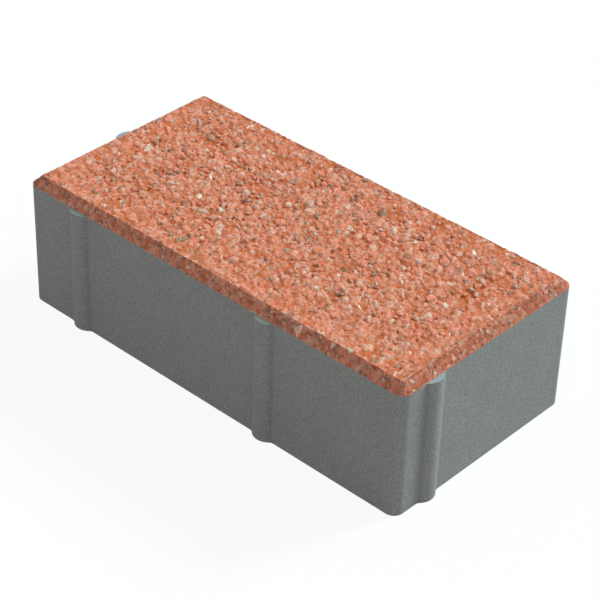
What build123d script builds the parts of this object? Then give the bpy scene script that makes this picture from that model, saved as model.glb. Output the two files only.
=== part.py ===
# Concrete block paver: a grey core with spacer nibs, and a red washed facing with a chamfer all round.
# Millimetres, +Z up. The origin is the centre of the underside. The long faces look along -Y and +Y.
from build123d import *
from math import atan2, degrees
import os

# Body of the stone, measured between its flat side faces
body_length = 200.0
body_width = 100.0
corner_radius = 4.5

# The two layers
core_height = 56.0
facing_thickness = 4.0
chamfer_width = 4.0

# Spacer nib: a rounded rib that runs up the core
nib_projection = 2.5
nib_nose_radius = 6.5
nib_root_radius = 2.5

# Nib places, each from the left end of its own face as seen from outside.
# No two stones laid side by side or end to end bring their nibs together.
long_face_nibs = (30.0, 132.0)
right_end_nib = 18.0
left_end_nib = 47.0

# On the back the nibs stop this far below the facing, whose top edge hides them from the front
back_nib_drop = 1.2


def noses_in_view():
    """Centres of the noses' arcs on the front and the two ends. Each lies behind the nib's own face."""
    depth = nib_nose_radius - nib_projection
    end_side = body_length / 2 - depth
    noses = [(from_left - body_length / 2, depth - body_width / 2) for from_left in long_face_nibs]
    noses.append((end_side, right_end_nib - body_width / 2))
    noses.append((-end_side, body_width / 2 - left_end_nib))
    return noses


def noses_at_back():
    """Centres of the noses' arcs on the back: the front's, turned half round."""
    front = noses_in_view()[:len(long_face_nibs)]
    return [(-along, -across) for along, across in front]


def outline(noses):
    """The rounded block with a nib round each nose, its roots filleted."""
    with BuildSketch() as drawn:
        RectangleRounded(body_length, body_width, corner_radius)
        with Locations(*noses):
            Circle(nib_nose_radius)
        for nose in noses:
            roots = drawn.vertices().sort_by_distance(nose)[:2]
            fillet(roots, radius=nib_root_radius)
    return drawn.sketch


# Grey core: the outline with all its nibs, and above it the outline without those at the back
with BuildPart() as core_block:
    with BuildSketch(Plane.XY):
        add(outline(noses_in_view() + noses_at_back()))
    extrude(amount=core_height - back_nib_drop)
    with BuildSketch(Plane.XY.offset(core_height - back_nib_drop)):
        add(outline(noses_in_view()))
    extrude(amount=back_nib_drop)

# Red facing: it leans in on every side, so that its flank is the stone's chamfer
with BuildPart() as facing_layer:
    with BuildSketch(Plane.XY.offset(core_height)):
        RectangleRounded(body_length, body_width, corner_radius)
    extrude(amount=facing_thickness, taper=degrees(atan2(chamfer_width, facing_thickness)))

core_block.part.label = "core_block"
facing_layer.part.label = "facing_layer"

os.makedirs("parts", exist_ok=True)
export_step(core_block.part, "parts/core_block.step")
export_step(facing_layer.part, "parts/facing_layer.step")
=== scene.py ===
from collections import defaultdict
from math import cos, hypot, pi, radians, sin, sqrt

import bmesh
import bpy
import numpy as np
from mathutils import Matrix, Vector, noise
from mathutils.kdtree import KDTree


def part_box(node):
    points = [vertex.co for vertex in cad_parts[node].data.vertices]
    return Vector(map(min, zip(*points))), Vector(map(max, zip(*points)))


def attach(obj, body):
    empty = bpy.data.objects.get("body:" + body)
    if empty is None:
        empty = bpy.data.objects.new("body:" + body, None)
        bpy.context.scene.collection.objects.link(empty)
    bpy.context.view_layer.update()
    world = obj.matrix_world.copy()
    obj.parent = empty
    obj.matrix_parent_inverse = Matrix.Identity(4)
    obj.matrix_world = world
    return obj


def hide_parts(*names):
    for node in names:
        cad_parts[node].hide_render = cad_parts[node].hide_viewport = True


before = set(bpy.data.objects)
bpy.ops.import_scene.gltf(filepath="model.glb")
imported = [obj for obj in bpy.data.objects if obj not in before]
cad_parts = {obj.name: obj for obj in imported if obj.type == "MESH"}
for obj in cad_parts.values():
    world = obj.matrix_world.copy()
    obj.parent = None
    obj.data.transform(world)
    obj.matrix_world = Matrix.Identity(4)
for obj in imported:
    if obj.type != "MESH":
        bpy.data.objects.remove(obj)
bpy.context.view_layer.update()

MM = 0.001
draw = np.random.default_rng(41)

# Keeps a length that is divided by from being 0
tiny = 1e-9

# The moulded facing, as the part has it
facing_low, facing_high = (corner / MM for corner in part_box("facing_layer"))
half_length = facing_high.x
half_width = facing_high.y
joint_height = facing_low.z
top_height = facing_high.z
corner_radius = 4.5
chamfer_width = 4.0
crest_radius = corner_radius - chamfer_width
chamfer_drop = top_height - joint_height
chamfer_fall = chamfer_drop / chamfer_width
chamfer_length = hypot(chamfer_width, chamfer_drop)

# Nibs of the core, as the part has them: each from the left end of its own face, seen from outside
long_face_nibs = (30.0, 132.0)
right_end_nib = 18.0
left_end_nib = 47.0

# How far the middle of a nib's root lies from the middle of the nib, and how far the root reaches on
root_from_middle = 4.9
root_reach = 1.3

# Washed surface: how far the red paste lies under the moulded shape before its relief.
# It deepens from the crest, the edge between the top and the chamfers, inward over the top.
recess_on_chamfer = 0.38
recess_at_crest = 0.7
recess_inland = 1.4
crest_width = 0.4
deepening_width = 14.0
shallowest = 0.02
deepest = 1.7

# Relief of the paste: broken grains of two sizes, and softer lumps of three
grain_spacing = 3.9
small_grain_spacing = 0.58 * grain_spacing
bend_size = 2.2
rough_size = 1.2
swell_size = 9.0

# The paste is lower round the stones, and notches bite into the crest.
# At the crest it keeps a share of its depth, and at the joint with the core it has none.
moat_depth = 0.14
notch_depth = 1.3
notch_reach = 1.1
notch_start = 0.03
crest_share = 0.8
crest_fade = 0.8
joint_fade = 0.5

# Net of the paste's surface
grid_spacing = 0.48
chamfer_rows = 12

# Stones: the radius of the largest, and how near to the moulded surface they may come
largest_stone = 3.5
clearance = 0.015

# The grains lie a little longer along one diagonal of the stone than across it
grain_angle = radians(131)
grain_run = np.array([cos(grain_angle), sin(grain_angle), 0])
grain_stretch = 1.35


def skin(grid_x, grid_y):
    """Point, outward normal and ring of the moulded facing over places of a flat rectangle.

    The ring is 0 up to the corner centres, crest_radius at the top edge and corner_radius at the
    lower edge. Square corners of the flat rectangle land on the rounded corners of the stone.
    """
    past_x = np.maximum(np.abs(grid_x) - (half_length - corner_radius), 0)
    past_y = np.maximum(np.abs(grid_y) - (half_width - corner_radius), 0)
    ring = np.maximum(past_x, past_y)
    reach = np.maximum(np.hypot(past_x, past_y), tiny)
    outward_x = np.sign(grid_x) * past_x / reach
    outward_y = np.sign(grid_y) * past_y / reach
    core_x = np.clip(grid_x, corner_radius - half_length, half_length - corner_radius)
    core_y = np.clip(grid_y, corner_radius - half_width, half_width - corner_radius)
    height = top_height - chamfer_fall * np.maximum(ring - crest_radius, 0)
    point = np.stack([core_x + outward_x * ring, core_y + outward_y * ring, height], -1)

    # On the crest itself the normal is halfway between the top's and the chamfer's
    turn_width = 0.01
    lean = np.clip((ring - crest_radius) / turn_width + 0.5, 0, 1)
    side = lean * chamfer_fall / sqrt(1 + chamfer_fall**2)
    up = 1 - lean * (1 - 1 / sqrt(1 + chamfer_fall**2))
    normal = np.stack([outward_x * side, outward_y * side, up], -1)
    normal /= np.linalg.norm(normal, axis=-1, keepdims=True)
    return point, normal, ring


def inside_skin(points, gap):
    """The points, with any that stand out of the moulded facing brought back to that gap under it."""
    held = points.copy()
    centre_x = half_length - corner_radius
    centre_y = half_width - corner_radius
    past_x = np.maximum(np.abs(held[..., 0]) - centre_x, 0)
    past_y = np.maximum(np.abs(held[..., 1]) - centre_y, 0)
    ring = np.hypot(past_x, past_y)
    widest = corner_radius - gap
    pull = np.where(ring > widest, widest / np.maximum(ring, tiny), 1)
    for axis, centre, past in ((0, centre_x, past_x), (1, centre_y, past_y)):
        pulled = np.sign(held[..., axis]) * (centre + past * pull)
        held[..., axis] = np.where(past > 0, pulled, held[..., axis])
    ring = np.minimum(ring, widest)
    roof = top_height - chamfer_fall * np.maximum(ring - crest_radius, 0) - gap
    held[..., 2] = np.clip(held[..., 2], joint_height + gap, np.maximum(roof, joint_height + gap))
    return held


def unfolded(grid, half):
    """Places across the facing with the chamfer's slope laid out at its full length."""
    beyond = np.maximum(np.abs(grid) - (half - chamfer_width), 0)
    return grid + np.sign(grid) * beyond * (chamfer_length / chamfer_width - 1)


def folded(across, half):
    """The way back: places of the flat rectangle from places with the slope laid out."""
    flat = half - chamfer_width
    squeeze = chamfer_width / chamfer_length
    return np.sign(across) * np.minimum(np.abs(across), flat + (np.abs(across) - flat) * squeeze)


def laid(across_x, across_y):
    """The places drawn together along the grains' longer way, so that round lumps come out longer."""
    along = (across_x * grain_run[0] + across_y * grain_run[1]) * (1 - 1 / grain_stretch)
    return across_x - along * grain_run[0], across_y - along * grain_run[1]


def inward(grid_x, grid_y):
    """How far a place on the top lies inside the crest. It is below 0 on a chamfer."""
    from_ends = half_length - chamfer_width - np.abs(grid_x)
    return np.minimum(from_ends, half_width - chamfer_width - np.abs(grid_y))


def grid_lines(half):
    """Places of the net's lines along one axis: close together on the chamfers, even between them."""
    rim = np.linspace(-half, -half + chamfer_width, chamfer_rows, endpoint=False)
    turn = np.linspace(-half + chamfer_width, -half + corner_radius, 2, endpoint=False)
    flat = 2 * (half - corner_radius)
    middle = np.linspace(-flat / 2, flat / 2, round(flat / grid_spacing) + 1)
    return np.concatenate([rim, turn, middle, -turn[::-1], -rim[::-1]])


def value_at(points, size):
    """Soft noise between about -1 and 1 at each point, with lumps of that size and of half that size."""
    fall = 1.0
    finer = 2.0
    layers = 2
    return np.array([noise.fractal(Vector(p) / size, fall, finer, layers) for p in points])


def grains_at(across_x, across_y, spacing):
    """Height from 0 to 1 of broken grains set edge to edge: tilted flats, with creases between."""
    lowest_middle = 0.35
    tilt = 1.1
    lowest = 0.2
    crease_width = 0.3 * spacing
    far = 1e9

    cell_x = np.floor(across_x / spacing).astype(int)
    cell_y = np.floor(across_y / spacing).astype(int)
    columns = cell_x.max() - cell_x.min() + 3
    rows = cell_y.max() - cell_y.min() + 3
    lean_x, lean_y, height, tilt_x, tilt_y = draw.random((5, columns, rows))
    nearest = np.full(len(across_x), far)
    second = nearest.copy()
    flat = np.zeros(len(across_x))
    for step_x in (-1, 0, 1):
        for step_y in (-1, 0, 1):
            at = (cell_x - cell_x.min() + 1 + step_x, cell_y - cell_y.min() + 1 + step_y)
            away_x = across_x - (cell_x + step_x + lean_x[at]) * spacing
            away_y = across_y - (cell_y + step_y + lean_y[at]) * spacing
            away = np.hypot(away_x, away_y)
            slope = ((tilt_x[at] - 0.5) * away_x + (tilt_y[at] - 0.5) * away_y) / spacing
            own = lowest_middle + (1 - lowest_middle) * height[at] + tilt * slope
            closer = away < nearest
            second = np.where(closer, nearest, np.minimum(second, away))
            flat = np.where(closer, own, flat)
            nearest = np.minimum(nearest, away)
    crease = np.clip((second - nearest) / crease_width, 0, 1)
    return np.clip(flat, lowest, 1) * np.sqrt(crease)


def mesh_object(name, points, faces, smooth=True):
    mesh = bpy.data.meshes.new(name)
    mesh.from_pydata((points * MM).tolist(), [], faces)
    mesh.polygons.foreach_set("use_smooth", [smooth] * len(mesh.polygons))
    mesh.update()
    made = bpy.data.objects.new(name, mesh)
    bpy.context.scene.collection.objects.link(made)
    return made


def keep_numbers(piece, name, values):
    """Keeps one number for each vertex of the piece, for its material to read."""
    held = piece.data.attributes.new(name, "FLOAT", "POINT")
    held.data.foreach_set("value", np.asarray(values, np.float32))


def bake_map(piece):
    """A flat map for baking: what looks up in one half of the square, what looks down in the other."""
    mesh = piece.data
    corners = np.empty(len(mesh.loops), np.int32)
    mesh.loops.foreach_get("vertex_index", corners)
    place = np.empty(len(mesh.vertices) * 3)
    mesh.vertices.foreach_get("co", place)
    place = place.reshape(-1, 3) / MM
    upward = np.empty(len(mesh.polygons) * 3)
    mesh.polygons.foreach_get("normal", upward)
    sides = np.empty(len(mesh.polygons), np.int32)
    mesh.polygons.foreach_get("loop_total", sides)
    below = np.repeat(upward.reshape(-1, 3)[:, 2] < 0, sides)

    # The stone's length fills the square's width but for a narrow margin
    margin = 1.02
    map_width = 2 * margin * (half_length + chamfer_length)
    across = (unfolded(place[:, 0], half_length), unfolded(place[:, 1], half_width))
    flat = 0.5 + np.stack(across, -1)[corners] / map_width
    flat[:, 1] = flat[:, 1] - 0.25 + 0.5 * below
    mesh.uv_layers.new(name="OFBake").data.foreach_set("uv", flat.ravel())


def beside_stones(grid_x, grid_y, places):
    """1 at a stone's outline and 0 away from it, for each place of the flat rectangle."""
    outline = 1.05
    fade = 0.25
    neighbours = 3

    tree = KDTree(len(places))
    for number, (point, _, _, _) in enumerate(places):
        tree.insert((*laid(point[0], point[1]), 0), number)
    tree.balance()
    radius = [place[1] for place in places]
    across_x, across_y = laid(grid_x, grid_y)
    beside = np.zeros(len(grid_x))
    for n in range(len(beside)):
        for _, number, away in tree.find_n((across_x[n], across_y[n], 0), neighbours):
            beside[n] = max(beside[n], 1 - abs(away / radius[number] - outline) / fade)
    return beside


def paste_depth(grid_x, grid_y, places):
    """How far the paste lies under the moulded facing, and the depth that sets its painted shade."""
    point, _, ring = skin(grid_x, grid_y)
    across = laid(unfolded(grid_x, half_length), unfolded(grid_y, half_width))
    laid_point = np.stack([*across, point[:, 2]], -1)

    # Grains with crooked outlines and softer lumps, each of which takes its share of the depth away
    bend = value_at(laid_point, bend_size)
    large_bend = 0.5 * bend
    small_bend = 0.4 * bend
    large = grains_at(across[0] + large_bend, across[1] - large_bend, grain_spacing)
    small = grains_at(across[0] - small_bend, across[1] + small_bend, small_grain_spacing)
    rough = value_at(laid_point, rough_size)
    swell = value_at(point, swell_size)
    relief = 1.15 - 0.6 * large - 0.4 * small - 0.3 * rough - 0.2 * swell

    from_crest = inward(grid_x, grid_y)
    on_top = np.clip(from_crest / crest_width, 0, 1)
    recess = recess_on_chamfer + (recess_at_crest - recess_on_chamfer) * on_top
    recess = recess + (recess_inland - recess) * np.clip(from_crest / deepening_width, 0, 1)
    depth = recess * relief + moat_depth * on_top * beside_stones(grid_x, grid_y, places)

    near_crest = np.clip(1 - np.abs(from_crest) / notch_reach, 0, 1)
    depth += notch_depth * near_crest * np.clip(-rough - notch_start, 0, 0.5)
    depth = np.clip(depth, shallowest, deepest)
    depth *= np.clip(np.abs(from_crest) / crest_fade, crest_share, 1)
    depth *= np.clip((corner_radius - ring) / joint_fade, 0, 1)

    # The painted shade goes by depth against the recess there, so that the top is as orange near the
    # crest
    shade_depth = depth * (1 + (recess_inland / recess - 1) * on_top)
    return depth, shade_depth


def washed_paste(places):
    """The red paste between the stones, as one closed solid with a grainy top and chamfers."""
    lines_x = grid_lines(half_length)
    lines_y = grid_lines(half_width)
    grid_x, grid_y = (g.ravel() for g in np.meshgrid(lines_x, lines_y, indexing="ij"))
    point, normal, ring = skin(grid_x, grid_y)
    depth, shade_depth = paste_depth(grid_x, grid_y, places)
    point = point - normal * depth[:, None]

    # The top and chamfers are a net of four-sided cells, and a fan closes it at the joint
    number = np.arange(len(point)).reshape(len(lines_x), len(lines_y))
    cells = np.stack([number[:-1, :-1], number[1:, :-1], number[1:, 1:], number[:-1, 1:]], -1)
    faces = cells.reshape(-1, 4).tolist()
    rim = [*number[:, 0], *number[-1, 1:], *number[-2::-1, -1], *number[0, -2:0:-1]]
    middle = len(point)
    point = np.vstack([point, (0, 0, joint_height)])
    faces += [(int(second), int(first), middle) for first, second in zip(rim, rim[1:] + rim[:1])]
    piece = mesh_object("facing_paste", point, faces)

    # The crest and the joint stay sharp in the smooth shading
    hair = 0.001
    from_crest = inward(grid_x, grid_y)
    on_edge = (np.abs(from_crest) < hair) | (ring > corner_radius - hair)
    on_edge = np.append(on_edge, False)
    ends = np.array([edge.vertices for edge in piece.data.edges])
    sharp = piece.data.attributes.new("sharp_edge", "BOOLEAN", "EDGE")
    sharp.data.foreach_set("value", on_edge[ends].all(axis=1))

    # The material tells the chamfers at the ends from those along the sides, and darkens each by its own
    # share: partly an unwashed film, partly painted shade
    end_film_and_shade = 1.0
    side_film_and_shade = 0.75
    past_crest = 0.1
    at_ends = half_length - np.abs(grid_x) < chamfer_width
    on_chamfer = (from_crest < -past_crest) * np.where(at_ends, end_film_and_shade, side_film_and_shade)
    # The depth kept here sets the paste's painted shade in creases and deep places
    keep_numbers(piece, "depth", np.append(shade_depth, 0))
    keep_numbers(piece, "chamfer", np.append(on_chamfer, 0))
    bake_map(piece)
    return piece


def chips(kinds, corners):
    """Corner points and triangles of up to that many kinds of stone: hulls of points on a ball."""
    golden_angle = pi * (3 - sqrt(5))
    loose_turn = 0.35
    loose_height = 0.09
    highest = 0.97

    shapes = []
    faces = []
    step = np.arange(corners)
    for _ in range(kinds):
        made = bmesh.new()
        turn = step * golden_angle + draw.normal(0, loose_turn, corners)
        height = 1 - 2 * (step + 0.5) / corners + draw.normal(0, loose_height, corners)
        height = np.clip(height, -highest, highest)
        width = np.sqrt(1 - height**2)
        for corner in zip(width * np.cos(turn), width * np.sin(turn), height):
            made.verts.new(corner)
        bmesh.ops.convex_hull(made, input=made.verts)
        made.normal_update()
        made.verts.index_update()
        triangles = [[v.index for v in f.verts] for f in made.faces]

        # A hull with fewer triangles has lost a corner, and isn't used
        if len(triangles) == 2 * corners - 4:
            shapes.append([v.co[:] for v in made.verts])
            faces.append(triangles)
        made.free()
    return np.array(shapes), np.array(faces)


def scattered(tries, smallest, largest, taken, crowding):
    """Places of up to that many more stones, largest first, clear of each other and of those in taken.

    A place is its point on the facing, its radius, the outward normal, and 1 on the top or 0 on
    a chamfer. At a crowding of 1 two stones may just touch, and below 1 they may overlap.
    """
    more_small = 1.6
    radius = smallest + (largest - smallest) * draw.random(tries) ** more_small
    across_x = draw.uniform(-1, 1, tries) * (half_length - chamfer_width + chamfer_length)
    across_y = draw.uniform(-1, 1, tries) * (half_width - chamfer_width + chamfer_length)
    grid_x = folded(across_x, half_length)
    grid_y = folded(across_y, half_width)
    point, normal, _ = skin(grid_x, grid_y)
    on_top = np.clip(inward(grid_x, grid_y) / crest_width, 0, 1)

    # Stones that could touch a new one are in its own box or in one of the eight round it
    kept = []
    nearby = defaultdict(list)
    box = 2 * largest_stone
    for place in taken:
        nearby[place[0][0] // box, place[0][1] // box].append(place)
    for i in np.argsort(-radius):
        x, y, z = point[i]
        blocked = False
        for column in (x // box - 1, x // box, x // box + 1):
            for row in (y // box - 1, y // box, y // box + 1):
                for other, room, _, _ in nearby[column, row]:
                    away = (other[0] - x)**2 + (other[1] - y)**2 + (other[2] - z)**2
                    blocked = blocked or away < ((room + radius[i]) * crowding)**2
        if not blocked:
            kept.append((point[i], radius[i], normal[i], on_top[i]))
            nearby[x // box, y // box].append(kept[-1])
    return kept


def stones(name, places, corners, palest, coated):
    """Broken stones set into the facing, one closed solid each, joined as one piece.

    Palest is the palest tone they may have, and coated how much more of them the paste's film covers.
    """
    shapes, all_faces = chips(kinds=60, corners=corners)
    count = len(places)
    centre = np.array([place[0] for place in places])
    radius = np.array([place[1] for place in places])
    normal = np.array([place[2] for place in places])
    on_top = np.array([place[3] for place in places])
    kind = draw.integers(0, len(shapes), count)

    # Longer one way than the other, flattest along the normal, and turned and tilted at random
    leanest = (1.0, 0.65, 0.55)
    fullest = (1.3, 1.0, 0.9)
    tilt = 0.45
    body = shapes[kind] * draw.uniform(leanest, fullest, (count, 3))[:, None]
    turn = draw.uniform(0, 2 * pi, count)
    helper = np.stack([np.cos(turn), np.sin(turn), np.zeros(count)], -1)
    up = normal + draw.normal(size=(count, 3)) * tilt * on_top[:, None]
    up /= np.linalg.norm(up, axis=1, keepdims=True)
    along = helper - up * np.sum(helper * up, axis=1, keepdims=True)
    along /= np.linalg.norm(along, axis=1, keepdims=True)
    across = np.cross(up, along)
    axes = np.stack([along, across, up], 1)
    body = np.einsum("svk,skj->svj", body, axes) * radius[:, None, None]
    body += (body @ grain_run)[..., None] * grain_run * (grain_stretch - 1)

    # On the top the highest point of a stone lies a little under the moulded surface.
    # On a chamfer it may stand out by a share of its radius, and is then cut off flat with it.
    most_under = 0.1 + 0.85 * on_top
    most_out = 0.1 * radius * (1 - on_top)
    more_high = 1.2
    level = np.einsum("svj,sj->sv", body, normal)
    highest = np.max(level, axis=1)
    under = draw.random(count) ** more_high * most_under - most_out
    centre = centre - normal * (highest + under)[:, None]
    points = inside_skin(centre[:, None] + body, clearance)

    shift = np.arange(count)[:, None, None] * corners
    triangles = (all_faces[kind] + shift).reshape(-1, 3).tolist()
    made = mesh_object(name, points.reshape(-1, 3), triangles, smooth=False)
    keep_numbers(made, "tone", np.repeat(draw.random(count) * palest, corners))
    keep_numbers(made, "coat", np.repeat(draw.random(count) ** (1 - coated), corners))
    keep_numbers(made, "chamfer", np.repeat(1 - on_top, corners))
    keep_numbers(made, "sunk", np.clip(1 - level / highest[:, None], 0, 1).ravel())
    bake_map(made)
    return made


class Nodes:
    """The node tree of a material or a world, with short ways to add and join nodes."""

    def __init__(self, owner, shader="Principled BSDF", stretch=1.0):
        self.owner = owner
        owner.use_nodes = True
        self.tree = owner.node_tree
        self.shader = self.tree.nodes[shader]
        turned = self.add("ShaderNodeMapping", vector_type="TEXTURE")
        turned.inputs["Rotation"].default_value = (0, 0, grain_angle)
        turned.inputs["Scale"].default_value = (stretch, 1, 1)
        self.join(self.add("ShaderNodeTexCoord").outputs["Object"], turned.inputs["Vector"])
        self.place = turned.outputs["Vector"]

    def add(self, kind, **settings):
        made = self.tree.nodes.new(kind)
        for name, value in settings.items():
            setattr(made, name, value)
        return made

    def join(self, output, socket):
        self.tree.links.new(output, socket)

    def feed(self, socket, source):
        """Sets the socket to a number or a colour, or joins a node's output to it."""
        if isinstance(source, (int, float)):
            socket.default_value = source
        elif isinstance(source, tuple):
            socket.default_value = (*source, 1)
        else:
            self.join(source, socket)

    def finish(self, colour, roughness, specular):
        """Gives the shader its colour, roughness and specular level."""
        self.feed(self.shader.inputs["Base Color"], colour)
        self.feed(self.shader.inputs["Roughness"], roughness)
        self.feed(self.shader.inputs["Specular IOR Level"], specular)

    def noise(self, size, detail=3.0, roughness=0.55):
        """Noise with lumps of that size."""
        made = self.add("ShaderNodeTexNoise")
        self.join(self.place, made.inputs["Vector"])
        made.inputs["Scale"].default_value = 1 / (size * MM)
        made.inputs["Detail"].default_value = detail
        made.inputs["Roughness"].default_value = roughness
        return made.outputs["Fac"]

    def cells(self, size):
        """Distance from the middle of the nearest grain of that size, and a random tint for it."""
        made = self.add("ShaderNodeTexVoronoi")
        self.join(self.place, made.inputs["Vector"])
        made.inputs["Scale"].default_value = 1 / (size * MM)
        parts = self.add("ShaderNodeSeparateColor")
        self.join(made.outputs["Color"], parts.inputs["Color"])
        return made.outputs["Distance"], parts.outputs["Red"]

    def axis(self, vector, letter):
        made = self.add("ShaderNodeSeparateXYZ")
        self.join(vector, made.inputs["Vector"])
        return made.outputs[letter]

    def value(self, name):
        """A number that the piece keeps for each vertex."""
        return self.add("ShaderNodeAttribute", attribute_name=name).outputs["Fac"]

    def spread(self, source, low, high, to_low=0.0, to_high=1.0):
        """Maps low..high of the source onto to_low..to_high, and holds it there beyond."""
        made = self.add("ShaderNodeMapRange")
        self.join(source, made.inputs["Value"])
        made.inputs["From Min"].default_value = low
        made.inputs["From Max"].default_value = high
        made.inputs["To Min"].default_value = to_low
        made.inputs["To Max"].default_value = to_high
        return made.outputs["Result"]

    def ramp(self, source, stops, constant=False):
        """Colours along the source: stops are (place, (red, green, blue)) in linear light."""
        made = self.add("ShaderNodeValToRGB")
        made.color_ramp.interpolation = "CONSTANT" if constant else "LINEAR"
        elements = made.color_ramp.elements
        while len(elements) < len(stops):
            elements.new(0.5)
        for element, (place, colour) in zip(elements, stops):
            element.position = place
            element.color = (*colour, 1)
        self.join(source, made.inputs["Fac"])
        return made.outputs["Color"]

    def mix(self, share, first, second, blend="MIX"):
        """The first colour, with that share of it made over into the second."""
        made = self.add("ShaderNodeMix", data_type="RGBA", blend_type=blend)

        # The node's colours go in at its sockets 6 and 7, and come out at its socket 2
        for number, source in ((0, share), (6, first), (7, second)):
            self.feed(made.inputs[number], source)
        return made.outputs[2]

    def math(self, operation, first, second=0.0):
        made = self.add("ShaderNodeMath", operation=operation)
        self.feed(made.inputs[0], first)
        self.feed(made.inputs[1], second)
        return made.outputs[0]

    def times(self, first, second):
        return self.math("MULTIPLY", first, second)

    def plus(self, first, second):
        return self.math("ADD", first, second)

    def away(self, source, middle):
        """How far the source is from that value."""
        return self.math("ABSOLUTE", self.math("SUBTRACT", source, middle))

    def seen(self):
        """1 where this is seen, straight, mirrored or through glass, and 0 where it sheds light."""
        path = self.add("ShaderNodeLightPath").outputs
        indirect = self.math("MAXIMUM", path["Is Glossy Ray"], path["Is Transmission Ray"])
        return self.math("MAXIMUM", path["Is Camera Ray"], indirect)

    def bump(self, height, depth):
        """Relief of that depth, too fine for the mesh."""
        made = self.add("ShaderNodeBump")
        made.inputs["Strength"].default_value = 1.0
        made.inputs["Distance"].default_value = depth * MM
        self.join(height, made.inputs["Height"])
        self.join(made.outputs["Normal"], self.shader.inputs["Normal"])


def linear(red, green, blue):
    """A colour as it is seen on a screen, 0 to 255, in linear light."""
    return tuple(((c / 255 + 0.055) / 1.055) ** 2.4 for c in (red, green, blue))


def red_paste():
    """Red cement paste full of sand: each grain has a tint of its own, and the creases are painted
    darker as painted shade.
    """
    nodes = Nodes(bpy.data.materials.new("red_washed_paste"), stretch=grain_stretch)
    grain, tint = nodes.cells(2.0)
    speck, speck_tint = nodes.cells(0.75)
    kinds = [
        (0.0, linear(168, 128, 108)),
        (0.08, linear(218, 134, 103)),
        (0.28, linear(246, 154, 126)),
        (0.64, linear(240, 170, 144)),
        (0.88, linear(238, 196, 177)),
    ]
    sand = [
        (0.0, linear(176, 122, 96)),
        (0.22, linear(238, 146, 114)),
        (0.8, linear(238, 196, 178)),
    ]
    base = nodes.ramp(tint, kinds, constant=True)
    base = nodes.mix(0.3, base, nodes.ramp(speck_tint, sand, constant=True))

    # Creases and deep places are painted a darker orange, as painted shade
    broken = nodes.spread(nodes.noise(2.5, 2.0), 0.4, 0.6)
    crease = nodes.times(nodes.spread(grain, 0.42, 0.7), broken)
    base = nodes.mix(nodes.times(crease, 0.6), base, linear(206, 102, 38))
    deep_shade = nodes.spread(nodes.value("depth"), 0.6, 1.3)
    base = nodes.mix(nodes.times(deep_shade, 0.7), base, linear(200, 96, 32))

    # The chamfers are painted darker, partly as an unwashed film and partly as painted shade, and
    # stained, with pits painted dark as painted shade, and warmer at the ends
    chamfer = nodes.value("chamfer")
    base = nodes.mix(nodes.times(chamfer, 0.5), base, linear(152, 90, 68))
    stain = nodes.times(chamfer, nodes.spread(nodes.noise(2.6, 3.0), 0.47, 0.6))
    base = nodes.mix(nodes.times(stain, 0.5), base, linear(104, 58, 42))
    warm = nodes.times(nodes.spread(chamfer, 0.8, 1.0), 0.3)
    base = nodes.mix(warm, base, linear(196, 92, 52))
    pit_shade = nodes.times(chamfer, nodes.spread(nodes.noise(1.3, 2.0), 0.61, 0.66))
    base = nodes.mix(nodes.times(pit_shade, 0.7), base, linear(84, 40, 26))
    nodes.finish(base, 0.88, 0.3)

    grain_dome = nodes.spread(grain, 0, 0.8, 1, 0)
    speck_dome = nodes.times(nodes.spread(speck, 0, 0.8, 1, 0), 0.5)
    dust = nodes.times(nodes.noise(0.6, 2.0, 0.6), 0.5)
    nodes.bump(nodes.plus(nodes.plus(grain_dome, speck_dome), dust), 0.24)
    return nodes.owner


def washed_stone():
    """Stones of the facing: brown, pink and cream, partly under a film of paste."""
    nodes = Nodes(bpy.data.materials.new("washed_stone"), stretch=grain_stretch)
    kinds = [
        (0.0, linear(142, 92, 62)),
        (0.07, linear(164, 116, 84)),
        (0.18, linear(188, 140, 110)),
        (0.32, linear(206, 160, 134)),
        (0.44, linear(224, 158, 126)),
        (0.66, linear(230, 180, 156)),
        (0.87, linear(240, 205, 183)),
        (0.96, linear(254, 230, 202)),
    ]
    kind = nodes.ramp(nodes.value("tone"), kinds, constant=True)
    dark_patch = nodes.spread(nodes.noise(1.7, 3.0, 0.6), 0.46, 0.6)
    body = nodes.mix(nodes.times(dark_patch, 0.6), kind, linear(176, 142, 118), "MULTIPLY")
    pale_patch = nodes.spread(nodes.noise(0.9, 2.0, 0.6), 0.57, 0.67)
    body = nodes.mix(nodes.times(pale_patch, 0.35), body, linear(250, 222, 200))

    # A film of paste in patches, and low down where the stone goes in a darker orange, as painted shade
    coat = nodes.value("coat")
    film = nodes.spread(nodes.plus(nodes.noise(1.6, 3.0), nodes.times(coat, 0.5)), 0.7, 0.88)
    base = nodes.mix(nodes.times(film, 0.8), body, linear(242, 150, 117))
    sunk = nodes.value("sunk")
    base = nodes.mix(nodes.spread(sunk, 0.25, 1, 0, 0.55), base, linear(166, 88, 54))

    # Painted highlights: the tops of the stones with the least film are painted pale in places, as
    # glints
    top = nodes.spread(sunk, 0, 0.16, 1, 0)
    glint = nodes.times(top, nodes.spread(nodes.noise(1.1, 2.0), 0.48, 0.6))
    painted_glint = nodes.times(glint, nodes.spread(coat, 0.28, 0.36, 1, 0))
    base = nodes.mix(nodes.times(painted_glint, 0.9), base, linear(255, 234, 214))
    # Stones on the chamfers are darker, partly as a film and partly as painted shade
    base = nodes.mix(nodes.times(nodes.value("chamfer"), 0.32), base, linear(130, 84, 66))
    nodes.finish(base, nodes.spread(film, 0, 1, 0.5, 0.9), 0.5)
    nodes.bump(nodes.noise(0.8, 3.0, 0.6), 0.2)
    return nodes.owner


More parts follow.
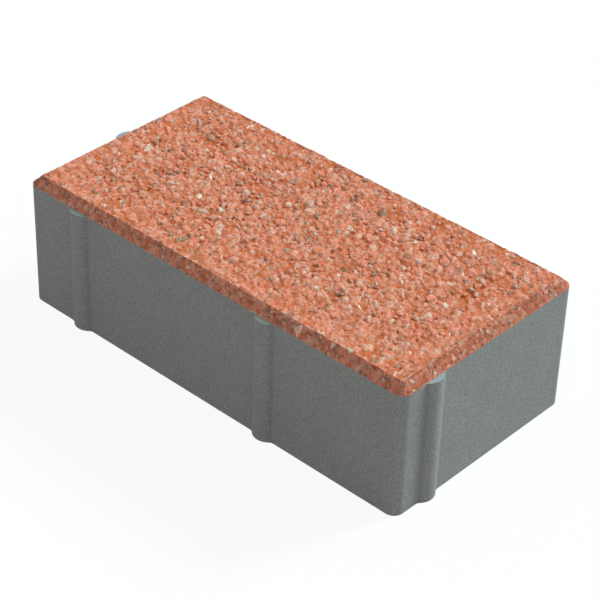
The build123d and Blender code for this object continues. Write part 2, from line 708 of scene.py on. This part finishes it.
def nib_roots(nodes, place):
    """1 along the roots of the nibs and 0 away from them.

    Each nib has the axis that it is placed along, its place there, and the axis and side that it faces.
    """
    half = {"X": half_length, "Y": half_width}
    face_depth = 0.5
    nibs = [("X", from_left - half_length, "Y", -1) for from_left in long_face_nibs]
    nibs += [("X", half_length - from_left, "Y", 1) for from_left in long_face_nibs]
    nibs += [("Y", right_end_nib - half_width, "X", 1), ("Y", half_width - left_end_nib, "X", -1)]
    roots = 0
    for along, middle, facing, side in nibs:
        face = side * half[facing] * MM
        behind_face = face - side * face_depth * MM
        on_face = nodes.spread(nodes.axis(place, facing), behind_face, face)
        away = nodes.away(nodes.axis(place, along), middle * MM)
        rise = nodes.spread(away, (root_from_middle - root_reach) * MM, root_from_middle * MM)
        fall = nodes.spread(away, root_from_middle * MM, (root_from_middle + root_reach) * MM, 1, 0)
        roots = nodes.plus(roots, nodes.times(on_face, nodes.times(rise, fall)))
    return roots


def grey_concrete():
    """Plain pressed concrete: fine sand grains, and faint clouds where the mix was wetter or drier."""
    nodes = Nodes(bpy.data.materials.new("grey_concrete"))
    clouds = [(0.3, linear(171, 170, 168)), (0.7, linear(178, 178, 175))]
    cloud = nodes.ramp(nodes.noise(14.0, 4.0), clouds)
    sand = nodes.spread(nodes.noise(0.5, 1.0, 0.5), 0.32, 0.68)
    base = nodes.mix(nodes.times(sand, 0.8), cloud, linear(121, 122, 119))
    patch = nodes.spread(nodes.noise(1.2, 2.0, 0.6), 0.35, 0.65)
    base = nodes.mix(nodes.times(patch, 0.18), base, linear(139, 140, 137))

    # Painted shade darkens the roots of the nibs
    facts = nodes.add("ShaderNodeNewGeometry").outputs
    root_shade = nodes.times(nib_roots(nodes, facts["Position"]), 0.26)
    base = nodes.mix(root_shade, base, linear(104, 105, 102))

    # The nibs' tops are painted paler, as painted light: dull green along the front, as painted shade,
    # and pale blue elsewhere
    front_face = -half_width * MM
    from_front = nodes.axis(facts["Position"], "Y")
    front_shade = nodes.spread(from_front, front_face, front_face + 1.0 * MM, 1, 0)
    ledge_light_and_shade = nodes.mix(front_shade, linear(152, 170, 176), linear(122, 134, 124))
    lit_ledge = nodes.spread(nodes.axis(facts["Normal"], "Z"), 0.6, 0.9)
    base = nodes.mix(nodes.times(lit_ledge, 0.9), base, ledge_light_and_shade)
    nodes.finish(base, 0.85, 0.3)
    nodes.bump(nodes.noise(0.5, 2.0, 0.6), 0.05)
    return nodes.owner


def white_floor(shade, bounce):
    """A white floor: shade is the share of its own lit surface that shows, which keeps the shadow.

    Bounce is the share of the light that it sends back to the stone.
    """
    nodes = Nodes(bpy.data.materials.new("white_floor"))
    to_camera = nodes.add("ShaderNodeLightPath").outputs["Is Camera Ray"]
    nodes.finish(nodes.spread(to_camera, 0, 1, bounce, 1), 1.0, 0.0)
    white = nodes.add("ShaderNodeEmission")
    mix = nodes.add("ShaderNodeMixShader")
    nodes.join(nodes.times(nodes.seen(), 1 - shade), mix.inputs[0])
    nodes.join(nodes.shader.outputs[0], mix.inputs[1])
    nodes.join(white.outputs[0], mix.inputs[2])
    nodes.join(mix.outputs[0], nodes.tree.nodes["Material Output"].inputs["Surface"])
    return nodes.owner


def white_room(light):
    """A world that sheds that much light evenly, and shows white."""
    nodes = Nodes(bpy.data.worlds.new("room"), shader="Background")
    nodes.feed(nodes.shader.inputs["Color"], (1, 1, 1))
    nodes.feed(nodes.shader.inputs["Strength"], nodes.spread(nodes.seen(), 0, 1, light, 1))
    return nodes.owner


# Facing: the paste, and the stones set in it, larger ones first
large = scattered(tries=480, smallest=2.0, largest=largest_stone, taken=[], crowding=1.0)
medium = scattered(tries=2600, smallest=1.35, largest=2.0, taken=large, crowding=0.88)
small = scattered(tries=6000, smallest=0.75, largest=1.35, taken=large + medium, crowding=0.86)
paste = washed_paste(large + medium)
coarse_stones = stones("coarse_stones", large + medium, corners=16, palest=1.0, coated=0.0)
small_stones = stones("small_stones", small, corners=12, palest=0.96, coated=0.4)
paste_finish = red_paste()
stone_finish = washed_stone()
finishes = ((paste, paste_finish), (coarse_stones, stone_finish), (small_stones, stone_finish))
for piece, finish in finishes:
    piece.data.materials.append(finish)
    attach(piece, "root")
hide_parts("facing_layer")

# Core: as the part has it
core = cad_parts["core_block"]
core.data.materials.clear()
core.data.materials.append(grey_concrete())

# Camera at the photograph's angle, with its focal length in pixels of the 600 x 600 frame
camera_place = Vector((458.9, -505.4, 509.1)) * MM
camera_aim = Vector((8.75, -4.43, 30.0)) * MM
camera_roll = radians(1.88)
focal_pixels = 2085.2
frame_pixels = 600
sensor_width = 36.0
camera = bpy.data.objects.new("camera", bpy.data.cameras.new("camera"))
bpy.context.scene.collection.objects.link(camera)
camera.data.sensor_width = sensor_width
camera.data.lens = focal_pixels * sensor_width / frame_pixels
camera.data.clip_start = 0.01
look = (camera_aim - camera_place).to_track_quat("-Z", "Y").to_matrix().to_4x4()
camera.matrix_world = Matrix.Translation(camera_place) @ look @ Matrix.Rotation(camera_roll, 4, "Z")
bpy.context.scene.camera = camera

# Light: one soft key from behind and to the right, and an even white room
key_light = Vector((0.21, 0.64, 0.49))
room_light = 0.53
key = bpy.data.objects.new("key", bpy.data.lights.new("key", "SUN"))
bpy.context.scene.collection.objects.link(key)
key.data.energy = pi * key_light.length
key.data.angle = radians(14)
key.data.color = (0.76, 0.97, 1.0)
key.rotation_mode = "QUATERNION"
key.rotation_quaternion = key_light.to_track_quat("Z", "Y")
bpy.context.scene.world = white_room(room_light)

# Floor, open under the stone so that the underside shows from below
floor_reach = 4000.0
under_stone = 2.0
opening_x = half_length - under_stone
opening_y = half_width - under_stone
around = [(-1, -1), (1, -1), (1, 1), (-1, 1)]
outer_rim = [(x * floor_reach, y * floor_reach, 0) for x, y in around]
inner_rim = [(x * opening_x, y * opening_y, 0) for x, y in around]
quads = [(n, (n + 1) % 4, (n + 1) % 4 + 4, n + 4) for n in range(4)]
floor = mesh_object("floor", np.array(outer_rim + inner_rim), quads)
floor.data.materials.append(white_floor(shade=0.09, bounce=0.4))

bpy.context.scene.view_settings.view_transform = "Standard"
